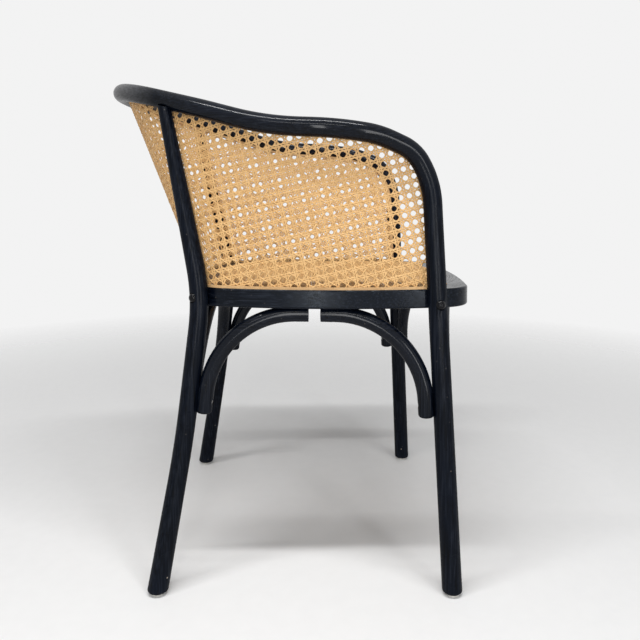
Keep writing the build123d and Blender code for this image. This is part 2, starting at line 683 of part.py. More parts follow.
class Bracket:
    """A quarter arc between a leg and a place under the ring, with its two screws."""

    def __init__(self, axis_point, leg_up, leg_radius, target, leg_rod):
        end = raised(target, BRACKET_LEVEL)
        away = (end - axis_point).normalized()
        turn = axis_point + away * (leg_radius + BRACKET_DIAMETER / 2 - BRACKET_HOLLOW)
        foot = turn - leg_up * BRACKET_DROP
        self.foot = foot
        self.leg_rod = leg_rod
        self.line = FilletPolyline(foot, turn, end, radius=BRACKET_BEND_RADIUS)
        self.to_leg = (away - leg_up * away.dot(leg_up)).normalized() * -1
        self.leg_screw_length = BRACKET_DIAMETER - BRACKET_HOLLOW - SCREW_SINK + SCREW_BITE
        self.seat_screw_length = BRACKET_DIAMETER - BRACKET_FLAT - SCREW_SINK + SCREW_BITE
        reach_to_head = BRACKET_DIAMETER / 2 - SCREW_SINK
        self.leg_screw_start = foot + leg_up * LEG_SCREW_RISE - self.to_leg * reach_to_head
        self.seat_screw_start = end - away * SEAT_SCREW_INSET - UP * reach_to_head

    def body(self):
        rod = rod_along(self.line.edges(), BRACKET_DIAMETER / 2)
        rod = rounded_end(rod, self.foot, BRACKET_END_RADIUS)
        rod -= Pos(0, 0, RING_BOTTOM) * Box(FAR, FAR, FAR, align=(Align.CENTER, Align.CENTER, Align.MIN))
        rod -= self.leg_rod
        return rod - self.leg_screw_hole() - self.seat_screw_hole()

    def leg_screw(self):
        return placed(wood_screw(self.leg_screw_length, 0.0), self.leg_screw_start, self.to_leg)

    def seat_screw(self):
        return placed(wood_screw(self.seat_screw_length, 0.0), self.seat_screw_start, UP)

    def leg_screw_hole(self):
        return placed(screw_hole(self.leg_screw_length), self.leg_screw_start, self.to_leg)

    def seat_screw_hole(self):
        return placed(screw_hole(self.seat_screw_length), self.seat_screw_start, UP)


def left_brackets():
    """The four brackets on the left side, by name."""
    front_axis = front_leg_axis(BRACKET_LEVEL)
    rear_axis = rear_leg_axis(BRACKET_LEVEL)
    middle = RING_WIDTH / 2
    front_across = front_axis.X - FRONT_BRACKET_REACH
    rear_across = rear_axis.X - REAR_BRACKET_REACH
    foot_level = BRACKET_LEVEL - BRACKET_DROP
    front_targets = {
        "side_bracket_front": side_edge(front_axis.Y + FRONT_BRACKET_REACH, middle),
        "front_bracket": end_edge(front_across, middle, FRONT_CENTRE, RING_FRONT_RADIUS, -1),
    }
    rear_targets = {
        "side_bracket_rear": side_edge(rear_axis.Y - REAR_BRACKET_REACH, middle),
        "back_bracket": end_edge(rear_across, middle, REAR_CENTRE, RING_REAR_RADIUS, 1),
    }
    front_rod = front_leg(CLEARANCE)
    rear_leg_rod = rear_rod(CLEARANCE)
    brackets = {}
    for name, target in front_targets.items():
        brackets[name] = Bracket(front_axis, FRONT_LEG_UP, front_radius(foot_level), target, front_rod)
    for name, target in rear_targets.items():
        brackets[name] = Bracket(rear_axis, REAR_LEG_UP, REAR_LEG_DIAMETER / 2, target, rear_leg_rod)
    return brackets


# Assembly


def twin(shape):
    """The same piece on the right side."""
    return mirror(shape, about=Plane.YZ)


def pair(shape):
    """A piece and its twin as two solids."""
    return [shape, twin(shape)]


def cut_both(body, shape):
    """A body cut by a shape and by the shape's twin."""
    return body - shape - twin(shape)


BRACKETS = left_brackets()
RING_ROOM = ring_plate(-CLEARANCE, RING_BOTTOM, SEAT_HEIGHT)


def bent_rail():
    """Front legs, arms and back rail in one rod, with the cane's groove on its inner side."""
    edges = RAIL_LINE.edges()
    leg = flat_foot(front_leg(0.0))
    leg -= FRONT_BOLT.hole()
    leg -= FRONT_BOLT.head_face()
    leg -= glide_pin(FRONT_FOOT, HOLE_CLEARANCE)
    for name in ("side_bracket_front", "front_bracket"):
        leg -= BRACKETS[name].leg_screw_hole()
    rail = rod_along(edges[1:-1], RAIL_RADIUS)
    rail = cut_both(rail, rear_dowel(HOLE_CLEARANCE))
    rail = rail + leg + twin(leg)
    return rail - RING_ROOM - rail_groove()


def rear_leg():
    """The left rear leg, seated on the ring, and hollowed under the rail below a level shoulder."""
    rail_room = straight_rod(ARM_CORNERS[-1], BACK_CORNER, RAIL_RADIUS + CLEARANCE)
    above = Box(FAR, FAR, FAR, align=(Align.CENTER, Align.CENTER, Align.MIN))
    leg = flat_foot(rear_rod(0.0))
    leg -= placed(above, REAR_TOP_ON_RAIL + RAIL_DOWN * REAR_SHOULDER, RAIL_DOWN * -1)
    leg = leg - rail_room - RING_ROOM
    leg = leg.solids().sort_by(SortBy.VOLUME)[-1]
    leg = leg - REAR_BOLT.hole() - REAR_BOLT.head_face() - rear_dowel(HOLE_CLEARANCE)
    leg -= glide_pin(REAR_FOOT, HOLE_CLEARANCE)
    for name in ("side_bracket_rear", "back_bracket"):
        leg -= BRACKETS[name].leg_screw_hole()
    return leg


def seat_ring():
    """The seat's frame, with grooves for both canes and holes for its fasteners."""
    ring = ring_band(0.0, RING_WIDTH, RING_BOTTOM, SEAT_HEIGHT)
    rims = ring.edges().group_by(Axis.Z)
    ring = fillet(rims[0] + rims[-1], RING_EDGE_RADIUS)
    groove_end = SEAT_GROOVE_INSET + SEAT_REED_WIDTH + CANE_THICKNESS + 3 * CANE_CLEARANCE
    ring -= ring_band(SEAT_GROOVE_INSET, groove_end, SEAT_HEIGHT - SEAT_GROOVE_DEPTH, SEAT_HEIGHT)
    for bolt in (FRONT_BOLT, REAR_BOLT):
        ring = cut_both(ring, bolt.hole() + bolt.washer_face())
    for bracket in BRACKETS.values():
        ring = cut_both(ring, bracket.seat_screw_hole())
    return ring - ring_groove()


def seat_openings():
    """The seat's openings, inside the ring, on a square grid."""
    room = ring_outline(RING_WIDTH + SEAT_OPENING_WIDTH / 2)
    pitch = (SEAT_WIDTH - 2 * RING_WIDTH) / SEAT_OPENINGS
    middle = Pos(0, SEAT_FRONT + SEAT_DEPTH / 2)
    grid = GridLocations(pitch, pitch, SEAT_OPENINGS, SEAT_OPENINGS)
    places = [middle * place for place in grid]
    return [place * octagon(SEAT_OPENING_WIDTH) for place in places if room.is_inside(place.position)]


def seat_cane():
    """The seat's panel, with its rim turned down into the ring's groove."""
    rim = SEAT_GROOVE_INSET + SEAT_REED_WIDTH + 2 * CANE_CLEARANCE
    top = SEAT_HEIGHT + CANE_THICKNESS
    floor = SEAT_HEIGHT - SEAT_GROOVE_DEPTH + CANE_CLEARANCE
    panel = Pos(0, 0, SEAT_HEIGHT) * extrude(ring_outline(rim) - seat_openings(), CANE_THICKNESS)
    return panel + ring_band(rim, rim + CANE_THICKNESS, floor, top)


def seat_reed():
    """The reed that wedges the seat's cane into its groove."""
    outer = SEAT_GROOVE_INSET + CANE_CLEARANCE
    floor = SEAT_HEIGHT - SEAT_GROOVE_DEPTH + CANE_CLEARANCE
    return ring_band(outer, outer + SEAT_REED_WIDTH, floor, SEAT_HEIGHT + SEAT_REED_SHOW)


def node_shapes():
    """Every sub-part by its name, as a solid or a list of solids."""
    left_leg = rear_leg()
    nodes = {
        "bent_rail": bent_rail(),
        "rear_leg_left": left_leg,
        "rear_leg_right": twin(left_leg),
        "seat_ring": seat_ring(),
        "back_cane": back_cane(),
        "seat_cane": seat_cane(),
        "back_cane_rail_reed": rail_reed(),
        "back_cane_ring_reed": ring_reed(),
        "seat_cane_reed": seat_reed(),
        "front_leg_bolts": pair(FRONT_BOLT.bolt()),
        "rear_leg_bolts": pair(REAR_BOLT.bolt()),
        "bolt_washers": pair(FRONT_BOLT.washer()) + pair(REAR_BOLT.washer()),
        "bolt_nuts": pair(FRONT_BOLT.nut()) + pair(REAR_BOLT.nut()),
        "rear_leg_dowels": pair(rear_dowel(0.0)),
        "floor_glides": pair(glide(FRONT_FOOT)) + pair(glide(REAR_FOOT)),
        "bracket_leg_screws": [],
        "bracket_seat_screws": [],
    }
    for name, bracket in BRACKETS.items():
        body = bracket.body()
        nodes[name + "_left"] = body
        nodes[name + "_right"] = twin(body)
        nodes["bracket_leg_screws"] += pair(bracket.leg_screw())
        nodes["bracket_seat_screws"] += pair(bracket.seat_screw())
    return nodes


os.makedirs("parts", exist_ok=True)
for node_name, shape in node_shapes().items():
    if isinstance(shape, list):
        shape = Compound(children=[Part(solid.wrapped) for piece in shape for solid in piece.solids()])
    export_step(shape, f"parts/{node_name}.step")
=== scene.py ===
import math
import random

import bpy
import numpy as np
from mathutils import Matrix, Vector
from mathutils.bvhtree import BVHTree


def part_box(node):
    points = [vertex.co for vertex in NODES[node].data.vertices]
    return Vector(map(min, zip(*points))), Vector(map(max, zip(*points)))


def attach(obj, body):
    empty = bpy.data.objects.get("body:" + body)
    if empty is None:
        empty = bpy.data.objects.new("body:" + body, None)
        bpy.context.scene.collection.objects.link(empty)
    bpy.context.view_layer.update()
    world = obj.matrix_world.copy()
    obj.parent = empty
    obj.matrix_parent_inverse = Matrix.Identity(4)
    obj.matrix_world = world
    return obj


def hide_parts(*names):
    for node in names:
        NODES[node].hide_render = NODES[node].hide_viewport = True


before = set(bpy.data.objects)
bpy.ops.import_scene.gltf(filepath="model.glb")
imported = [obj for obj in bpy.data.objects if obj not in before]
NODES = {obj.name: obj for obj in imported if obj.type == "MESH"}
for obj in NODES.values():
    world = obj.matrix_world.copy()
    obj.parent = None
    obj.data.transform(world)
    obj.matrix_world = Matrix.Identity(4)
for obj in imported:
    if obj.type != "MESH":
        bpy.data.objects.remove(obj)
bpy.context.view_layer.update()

random.seed(7)

# Weave of the cane, in metres
PITCH = 0.0142  # from one pair of strands to the next
ROW_STRETCH = 0.95  # the rows lie a little closer than the uprights
PAIR_OFFSET = 0.00158  # a strand's middle from the middle of its pair
STRAND_WIDTH = 0.0024
DIAGONAL_WIDTH = 0.0020
STRAND_THICKNESS = 0.0009
PAIR_WAVE = 0.00042  # how far the pairs rise and fall where they cross
DIAGONAL_WAVE = 0.00090
SAMPLES_PER_PITCH = 4
WEAVE_SCALE = np.array((1.0, ROW_STRETCH))
EDGE_ROUNDS = 6  # halvings that find where a strand leaves the panel

# Back cane: columns of points round a vertical axis inside the chair
AXIS_Y = -0.02
COLUMN_COUNT = 361
COLUMN_POINTS = 12
HALF_SWEEP = math.radians(134.5)
CANE_HALF_THICKNESS = 0.0008
LOWEST_CANE = 0.4490
HIGHEST_CANE = 0.80
SCAN_POINTS = 70  # heights that each column is measured at, before its openings are bridged
SCAN_STEP = 0.002  # first search for the column's top
SQUARE_ENOUGH = 0.4  # a hit on the wall of an opening is more oblique than this
SEAT_EDGE_ANGLES = 721

# Lacquer and bare wood: how finely the grain varies across the wood and along it
ACROSS_GRAIN = 420.0
UP_GRAIN = 9.0
ROUND_GRAIN = 2.4  # by angle, where the grain runs level round the chair
DOWEL_ACROSS_GRAIN = 500.0
DOWEL_UP_GRAIN = 40.0
TURN_BLEND = 0.03  # half the height over which the grain turns
POLISH_BLEND = 0.07
# Depth over which the painted grey reflection at the rail's rear end comes in
PAINTED_REFLECTION_BLEND = 0.09
ABOVE_CHAIR = 2.0  # a height that nothing reaches: the grain never turns, or no hand polishes
FEET_LOW, FEET_HIGH = 0.02, 0.22  # nicks grow more common from the higher to the lower

# Stage
BACKDROP_TONE = 0.895
WORLD_LIGHT = 0.24
FLOOR_HALF = 3.0
FLOOR_SOLID, FLOOR_GONE = 0.7, 2.2  # distances between which the floor fades into the backdrop

# Camera, fitted to the photograph
CAMERA_PLACE = (-1.1642, -0.0319, 0.5896)
CAMERA_YAW = math.radians(-1.40)
CAMERA_PITCH = math.radians(3.54)
CAMERA_LENS = 36.0
CAMERA_SENSOR = 36.0
CAMERA_SHIFT = -0.1295


# Materials


class Graph:
    """A material's node tree, with short calls for the nodes that are used here."""

    def __init__(self, name):
        self.material = bpy.data.materials.new(name)
        self.material.use_nodes = True
        self.tree = self.material.node_tree
        self.shader = self.tree.nodes["Principled BSDF"]

    def node(self, kind, inputs=None, **settings):
        made = self.tree.nodes.new(kind)
        for key, value in settings.items():
            setattr(made, key, value)
        for key, value in (inputs or {}).items():
            self.put(made.inputs[key], value)
        return made

    def put(self, socket, value):
        if isinstance(value, bpy.types.NodeSocket):
            self.tree.links.new(value, socket)
        else:
            socket.default_value = value

    def set(self, **values):
        for key, value in values.items():
            self.put(self.shader.inputs[key.replace("_", " ")], value)

    def math(self, operation, first, second=0.0):
        return self.node("ShaderNodeMath", {0: first, 1: second}, operation=operation).outputs[0]

    def split(self, vector):
        return self.node("ShaderNodeSeparateXYZ", {0: vector}).outputs

    def join(self, x, y, z):
        return self.node("ShaderNodeCombineXYZ", {0: x, 1: y, 2: z}).outputs[0]

    def stretched(self, x, y, z, across, up):
        """Coordinates for a grain that runs upright."""
        scaled = [self.math("MULTIPLY", value, scale) for value, scale in ((x, across), (y, across), (z, up))]
        return self.join(*scaled)

    def reach(self, x, y):
        """Distance from the chair's upright axis."""
        return self.math("SQRT", self.math("ADD", self.math("MULTIPLY", x, x), self.math("MULTIPLY", y, y)))

    def noise(self, vector, scale, detail=3.0, roughness=0.55):
        inputs = {"Vector": vector, "Scale": scale, "Detail": detail, "Roughness": roughness}
        return self.node("ShaderNodeTexNoise", inputs).outputs["Fac"]

    def spots(self, vector, scale):
        return self.node("ShaderNodeTexVoronoi", {"Vector": vector, "Scale": scale}).outputs["Distance"]

    def ramp(self, value, low, high, to_low=0.0, to_high=1.0):
        inputs = {"Value": value, "From Min": low, "From Max": high, "To Min": to_low, "To Max": to_high}
        return self.node("ShaderNodeMapRange", inputs).outputs["Result"]

    def blend(self, factor, first, second):
        made = self.node("ShaderNodeMix", data_type="RGBA")
        self.put(made.inputs[0], factor)
        self.put(made.inputs[6], first)
        self.put(made.inputs[7], second)
        return made.outputs[2]

    def bump(self, height, distance, strength=1.0):
        inputs = {"Height": height, "Distance": distance, "Strength": strength}
        return self.node("ShaderNodeBump", inputs).outputs["Normal"]

    def place(self):
        return self.node("ShaderNodeTexCoord").outputs["Object"]


def color(red, green, blue):
    return (red, green, blue, 1.0)


def lacquer(name, turning, shine=0.02, satin=0.46, streak=0.35, polish_from=ABOVE_CHAIR, painted_reflection_from=None):
    """Blue-black satin lacquer over open-grained wood.

    Turning: from what height the grain runs level. Shine and satin: the wood's own gloss and roughness under the
    coat. Streak: how strongly paler grain shows. Polish from: the height above which it is polished. Painted
    reflection from: how far back a painted grey reflection of the pale surroundings starts on the lacquer.
    """
    g = Graph(name)
    place = g.place()
    x, y, z = g.split(place)
    upright = g.stretched(x, y, z, ACROSS_GRAIN, UP_GRAIN)
    round_angle = g.math("MULTIPLY", g.math("ARCTAN2", x, y), ROUND_GRAIN)
    reach = g.reach(x, y)
    level = g.join(round_angle, g.math("MULTIPLY", reach, ACROSS_GRAIN), g.math("MULTIPLY", z, ACROSS_GRAIN))
    turn = g.ramp(z, turning - TURN_BLEND, turning + TURN_BLEND)
    along = g.node("ShaderNodeMix", {0: turn}, data_type="VECTOR")
    g.put(along.inputs[4], upright)
    g.put(along.inputs[5], level)
    grain = g.noise(along.outputs[1], 1.0, 4.0, 0.6)
    cloud = g.noise(place, 9.0, 2.0)
    pores = g.ramp(grain, 0.34, 0.46)
    base = g.blend(g.ramp(cloud, 0.3, 0.7), color(0.0008, 0.0017, 0.0042), color(0.0018, 0.0034, 0.0080))
    base = g.blend(pores, color(0.0004, 0.0006, 0.0012), base)
    base = g.blend(g.ramp(grain, 0.50, 0.72, 0.0, streak), base, color(0.028, 0.033, 0.046))
    rub = g.noise(place, 55.0, 4.0, 0.65)
    nick_field = g.spots(place, 95.0)
    nick = g.math("MULTIPLY", g.ramp(nick_field, 0.13, 0.08), g.ramp(rub, 0.55, 0.60))
    low = g.ramp(z, FEET_HIGH, FEET_LOW)
    nick = g.math("MULTIPLY", nick, g.math("ADD", 0.12, g.math("MULTIPLY", low, 0.8)))
    base = g.blend(nick, base, color(0.36, 0.31, 0.26))
    cloudy = g.noise(place, 26.0, 3.0)
    # Painted reflection: from this depth back the lacquer's colour turns grey in mottled streaks, standing in
    # for the pale surroundings mirrored at the rail's rear end
    if painted_reflection_from is not None:
        reflection_streaks = g.math("MULTIPLY", g.ramp(cloudy, 0.2, 0.7, 0.7, 1.1), g.ramp(grain, 0.3, 0.7, 0.6, 1.2))
        painted_reflection = g.math("MULTIPLY", g.ramp(y, painted_reflection_from, painted_reflection_from + PAINTED_REFLECTION_BLEND), reflection_streaks)
        base = g.blend(painted_reflection, base, color(0.115, 0.115, 0.118))
    rough = g.ramp(cloudy, 0.3, 0.72, satin - 0.05, satin + 0.06)
    rough = g.math("ADD", rough, g.math("MULTIPLY", g.math("SUBTRACT", 1.0, pores), 0.12))
    g.set(Base_Color=base, Roughness=rough, Specular_IOR_Level=shine, Specular_Tint=color(0.75, 0.88, 1.0))
    polish = g.ramp(z, polish_from, polish_from + POLISH_BLEND)
    coat_rough = g.math("SUBTRACT", g.ramp(cloudy, 0.3, 0.72, 0.25, 0.31), g.math("MULTIPLY", polish, 0.15))
    g.set(Coat_Weight=g.ramp(polish, 0.0, 1.0, 0.14, 0.30), Coat_Roughness=coat_rough)
    g.set(Normal=g.bump(g.math("ADD", pores, g.math("MULTIPLY", grain, 0.6)), 0.00012, 0.55))
    return g.material


def cane_material():
    """Split cane: a straw-coloured satin skin with long fibres, darker joints, honey streaks and painted shade
    along each strand's edges.
    """
    g = Graph("cane_skin")
    u, v, _ = g.split(g.node("ShaderNodeUVMap", uv_map="strand").outputs[0])
    long_tone = g.noise(g.join(g.math("MULTIPLY", u, 5.0), 0.0, 0.0), 1.0, 2.0)
    mid_tone = g.noise(g.join(g.math("MULTIPLY", u, 38.0), g.math("MULTIPLY", v, 0.6), 3.0), 1.0, 3.0)
    fibre = g.noise(g.join(g.math("MULTIPLY", u, 60.0), g.math("MULTIPLY", v, 7.0), 7.0), 1.0, 4.0, 0.7)
    joint = g.noise(g.join(g.math("MULTIPLY", u, 21.0), 0.0, 11.0), 1.0, 0.0)
    base = g.blend(g.ramp(long_tone, 0.33, 0.67), color(0.53, 0.283, 0.092), color(0.775, 0.490, 0.208))
    base = g.blend(g.ramp(mid_tone, 0.35, 0.75, 0.0, 0.55), base, color(0.83, 0.580, 0.290))
    base = g.blend(g.ramp(fibre, 0.50, 0.30, 0.0, 0.45), base, color(0.50, 0.27, 0.10))
    base = g.blend(g.ramp(joint, 0.74, 0.80, 0.0, 0.5), base, color(0.40, 0.21, 0.085))
    # Painted shade: each strand darkens towards its edges, standing in for the shadow between neighbouring
    # strands
    edge = g.ramp(g.math("ABSOLUTE", v), 0.56, 1.0, 0.0, 0.62)
    base = g.blend(edge, base, color(0.44, 0.235, 0.085))
    g.set(Base_Color=base, Roughness=g.ramp(fibre, 0.3, 0.7, 0.58, 0.40), Specular_IOR_Level=0.4)
    g.set(Normal=g.bump(fibre, 0.00015, 0.6))
    return g.material


def reed_material():
    """Reed spline: matt, fibrous, a little browner than the cane."""
    g = Graph("reed_spline")
    place = g.place()
    cloud = g.noise(place, 30.0, 3.0)
    fibre = g.noise(place, 900.0, 2.0, 0.6)
    base = g.blend(g.ramp(cloud, 0.3, 0.7), color(0.46, 0.27, 0.12), color(0.66, 0.43, 0.21))
    base = g.blend(g.ramp(fibre, 0.55, 0.35, 0.0, 0.5), base, color(0.33, 0.18, 0.075))
    g.set(Base_Color=base, Roughness=g.ramp(fibre, 0.3, 0.7, 0.75, 0.55), Specular_IOR_Level=0.3)
    g.set(Normal=g.bump(fibre, 0.0003, 0.6))
    return g.material


def bolt_material():
    """Black-coated dome head, rubbed a little bright."""
    g = Graph("bolt_black")
    place = g.place()
    rub = g.noise(place, 420.0, 4.0, 0.6)
    base = g.blend(g.ramp(rub, 0.60, 0.75, 0.0, 0.4), color(0.002, 0.002, 0.003), color(0.05, 0.05, 0.052))
    g.set(Base_Color=base, Roughness=g.ramp(rub, 0.3, 0.7, 0.12, 0.24), Specular_IOR_Level=0.16)
    g.set(Normal=g.bump(rub, 0.0001, 0.4))
    return g.material


def zinc_material():
    """Zinc-plated steel of the hidden fasteners."""
    g = Graph("zinc_steel")
    place = g.place()
    spangle = g.noise(place, 700.0, 3.0)
    base = g.blend(spangle, color(0.36, 0.36, 0.35), color(0.62, 0.62, 0.60))
    g.set(Base_Color=base, Metallic=1.0, Roughness=g.ramp(spangle, 0.3, 0.7, 0.28, 0.48))
    g.set(Normal=g.bump(spangle, 0.0001, 0.3))
    return g.material


def dowel_material():
    """Bare beech of the dowels."""
    g = Graph("dowel_beech")
    x, y, z = g.split(g.place())
    grain = g.noise(g.stretched(x, y, z, DOWEL_ACROSS_GRAIN, DOWEL_UP_GRAIN), 1.0)
    base = g.blend(grain, color(0.44, 0.28, 0.15), color(0.66, 0.48, 0.30))
    g.set(Base_Color=base, Roughness=g.ramp(grain, 0, 1, 0.5, 0.7))
    g.set(Normal=g.bump(grain, 0.0002, 0.5))
    return g.material


def glide_material():
    """Off-white nylon of the floor glides, scuffed grey."""
    g = Graph("glide_nylon")
    scuff = g.noise(g.place(), 260.0, 4.0, 0.65)
    base = g.blend(g.ramp(scuff, 0.4, 0.7), color(0.66, 0.64, 0.59), color(0.34, 0.33, 0.31))
    g.set(Base_Color=base, Roughness=g.ramp(scuff, 0.3, 0.7, 0.45, 0.65))
    g.set(Normal=g.bump(scuff, 0.0002, 0.5))
    return g.material


# Panels of cane: each maps a point of its flat pattern to a place and an outward direction


def tree_of(node):
    """The node's mesh, for casting rays at it."""
    mesh = NODES[node].data
    return BVHTree.FromPolygons([v.co for v in mesh.vertices], [p.vertices for p in mesh.polygons])


class BackPanel:
    """The back cane, laid out flat from the middle of the back by unrolling narrow columns."""

    def __init__(self):
        self.tree = tree_of("back_cane")
        angles = np.linspace(HALF_SWEEP, -HALF_SWEEP, COLUMN_COUNT)
        columns = [column for column in map(self.column, angles) if column is not None]
        self.points = np.array(columns)
        self.normals = self.surface_normals()
        self.points = self.points + self.normals * CANE_HALF_THICKNESS
        self.unroll()

    def reach(self, angle, height):
        """From the axis to the sheet's inner face, or none in an opening or past the sheet."""
        way = Vector((math.sin(angle), math.cos(angle), 0))
        place, normal, _, distance = self.tree.ray_cast(Vector((0, AXIS_Y, height)), way)
        if place is None or abs(normal.dot(way)) < SQUARE_ENOUGH:
            return None
        return distance

    def column(self, angle):
        """Points up the inner face at one angle, or none where the cane has ended."""
        if self.reach(angle, LOWEST_CANE) is None:
            return None
        low = HIGHEST_CANE
        while self.reach(angle, low) is None:
            low -= SCAN_STEP
        high = low + SCAN_STEP
        for _ in range(EDGE_ROUNDS):
            middle = (low + high) / 2
            if self.reach(angle, middle) is None:
                high = middle
            else:
                low = middle
        scanned = np.linspace(LOWEST_CANE, low, SCAN_POINTS)
        found = [(height, self.reach(angle, height)) for height in scanned]
        found = np.array([pair for pair in found if pair[1] is not None])
        heights = np.linspace(LOWEST_CANE, low, COLUMN_POINTS)
        reaches = np.interp(heights, found[:, 0], found[:, 1])
        return np.column_stack((math.sin(angle) * reaches, AXIS_Y + math.cos(angle) * reaches, heights))

    def surface_normals(self):
        """Outward directions, from the differences between neighbouring points."""
        across = np.gradient(self.points, axis=0)
        upward = np.gradient(self.points, axis=1)
        normals = np.cross(across, upward)
        return normals / np.linalg.norm(normals, axis=2, keepdims=True)

    def unroll(self):
        """Flat places of the columns' two ends, worked out to each side of the middle column."""
        low, high = self.points[:, 0], self.points[:, -1]
        count = len(low)
        middle = count // 2
        self.flat_low = np.zeros((count, 2))
        self.flat_high = np.zeros((count, 2))
        self.flat_high[middle] = (0, np.linalg.norm(high[middle] - low[middle]))
        for step in (1, -1):
            end = count if step > 0 else -1
            for i in range(middle, end - step, step):
                j = i + step
                self.flat_low[j] = self.corner(
                    self.flat_low[i], self.flat_high[i],
                    np.linalg.norm(low[j] - low[i]), np.linalg.norm(low[j] - high[i]), step,
                )
                self.flat_high[j] = self.corner(
                    self.flat_low[j], self.flat_high[i],
                    np.linalg.norm(high[j] - low[j]), np.linalg.norm(high[j] - high[i]), step,
                )

    @staticmethod
    def corner(first, second, from_first, from_second, side):
        """The third corner of a flat triangle with these sides."""
        base = second - first
        length = np.linalg.norm(base)
        along = (from_first**2 - from_second**2 + length**2) / (2 * length)
        away = math.sqrt(max(from_first**2 - along**2, 0.0))
        unit = base / length
        return first + unit * along + np.array((unit[1], -unit[0])) * away * side

    def extent(self):
        ends = np.vstack((self.flat_low, self.flat_high))
        return ends.min(axis=0) / WEAVE_SCALE, ends.max(axis=0) / WEAVE_SCALE

    def side_of(self, index, flat):
        """How far flat points lie beyond the columns with these indices."""
        base = self.flat_high[index] - self.flat_low[index]
        gap = flat - self.flat_low[index]
        return base[:, 1] * gap[:, 0] - base[:, 0] * gap[:, 1]

    def map(self, flat):
        """Places, outward directions and whether each point of the pattern is on the panel."""
        flat = flat * WEAVE_SCALE
        low = np.zeros(len(flat), dtype=int)
        high = np.full(len(flat), len(self.points) - 1)
        inside = (self.side_of(low, flat) >= 0) & (self.side_of(high, flat) <= 0)
        while (high - low).max() > 1:
            middle = (low + high) // 2
            beyond = self.side_of(middle, flat) >= 0
            low = np.where(beyond, middle, low)
            high = np.where(beyond, high, middle)
        before, after = self.side_of(low, flat), self.side_of(high, flat)
        part = np.clip(before / (before - after + 1e-12), 0, 1)[:, None]
        foot = self.flat_low[low] * (1 - part) + self.flat_low[high] * part
        top = self.flat_high[low] * (1 - part) + self.flat_high[high] * part
        rise = ((flat - foot) * (top - foot)).sum(axis=1) / ((top - foot) ** 2).sum(axis=1)
        inside &= (rise >= 0) & (rise <= 1)
        level = np.clip(rise, 0, 1) * (COLUMN_POINTS - 1)
        row = np.minimum(level.astype(int), COLUMN_POINTS - 2)
        share = (level - row)[:, None]
        places = self.between(self.points, low, high, row, part, share)
        normals = self.between(self.normals, low, high, row, part, share)
        return places, normals / np.linalg.norm(normals, axis=1, keepdims=True), inside

    @staticmethod
    def between(field, low, high, row, part, share):
        first = field[low, row] * (1 - share) + field[low, row + 1] * share
        second = field[high, row] * (1 - share) + field[high, row + 1] * share
        return first * (1 - part) + second * part


class SeatPanel:
    """The seat's cane: its flat pattern is its plan."""

    def __init__(self):
        tree = tree_of("seat_cane")
        low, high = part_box("seat_cane")
        self.low, self.high = np.array(low[:2]), np.array(high[:2])
        self.level = high.z - STRAND_THICKNESS / 2
        self.middle = (self.low + self.high) / 2
        self.angles = np.linspace(-math.pi, math.pi, SEAT_EDGE_ANGLES)
        edge_height = high.z - CANE_HALF_THICKNESS
        self.reaches = np.array([self.edge_reach(tree, angle, edge_height) for angle in self.angles])

    def edge_reach(self, tree, angle, height):
        """From the middle to the panel's edge, found from outside it."""
        way = Vector((math.cos(angle), math.sin(angle), 0))
        start = Vector((*self.middle, height)) + way
        return 1.0 - tree.ray_cast(start, -way)[3]

    def extent(self):
        return self.low / WEAVE_SCALE, self.high / WEAVE_SCALE

    def map(self, flat):
        flat = flat * WEAVE_SCALE
        gap = flat - self.middle
        edge = np.interp(np.arctan2(gap[:, 1], gap[:, 0]), self.angles, self.reaches)
        places = np.column_stack((flat, np.full(len(flat), self.level)))
        return places, np.tile((0.0, 0.0, 1.0), (len(flat), 1)), np.hypot(gap[:, 0], gap[:, 1]) <= edge


# Strands


def pair_height(place, first):
    """Rise of a pair's strand where the crossing pairs alternate over and under it."""
    phase = (place / PITCH - 0.5) % 1.0
    near = np.minimum(phase, 1 - phase) * PITCH
    side = np.where(phase < 0.5, 1.0, -1.0)
    swing = np.sin(np.clip(near / PAIR_OFFSET, 0, 2) * math.pi / 2)
    return side * swing * PAIR_WAVE * (1 if first else -1)


def diagonal_height(place, first):
    """Rise of a diagonal: over the uprights and under the rows, or the other way."""
    return np.cos(place / PITCH * 2 * math.pi) * DIAGONAL_WAVE * (1 if first else -1)


def strand_lines(low, high):
    """Every strand's flat points with their rise, by family."""
    step = PITCH / SAMPLES_PER_PITCH
    families = {"uprights": [], "rows": [], "diagonals_a": [], "diagonals_b": []}
    xs = np.arange(math.floor(low[0] / PITCH), math.ceil(high[0] / PITCH) + 1)
    ys = np.arange(math.floor(low[1] / PITCH), math.ceil(high[1] / PITCH) + 1)
    run_x = np.arange(xs[0] * PITCH, xs[-1] * PITCH + step, step)
    run_y = np.arange(ys[0] * PITCH, ys[-1] * PITCH + step, step)
    for first in (True, False):
        offset = -PAIR_OFFSET if first else PAIR_OFFSET
        for i in xs:
            line = np.column_stack((np.full(len(run_y), i * PITCH + offset), run_y))
            families["uprights"].append((line, pair_height(run_y, first)))
        for j in ys:
            line = np.column_stack((run_x, np.full(len(run_x), (j + 0.5) * PITCH + offset)))
            families["rows"].append((line, pair_height(run_x + PITCH / 2, not first)))
    reach = int(xs[-1] - xs[0] + ys[-1] - ys[0]) + 2
    for k in range(-reach, reach + 1):
        for name, slope in (("diagonals_a", 1), ("diagonals_b", -1)):
            line_y = slope * (run_x - k * PITCH)
            keep = (line_y >= low[1] - step) & (line_y <= high[1] + step)
            if keep.sum() > 1:
                line = np.column_stack((run_x[keep], line_y[keep]))
                families[name].append((line, diagonal_height(run_x[keep], slope > 0)))
    return families


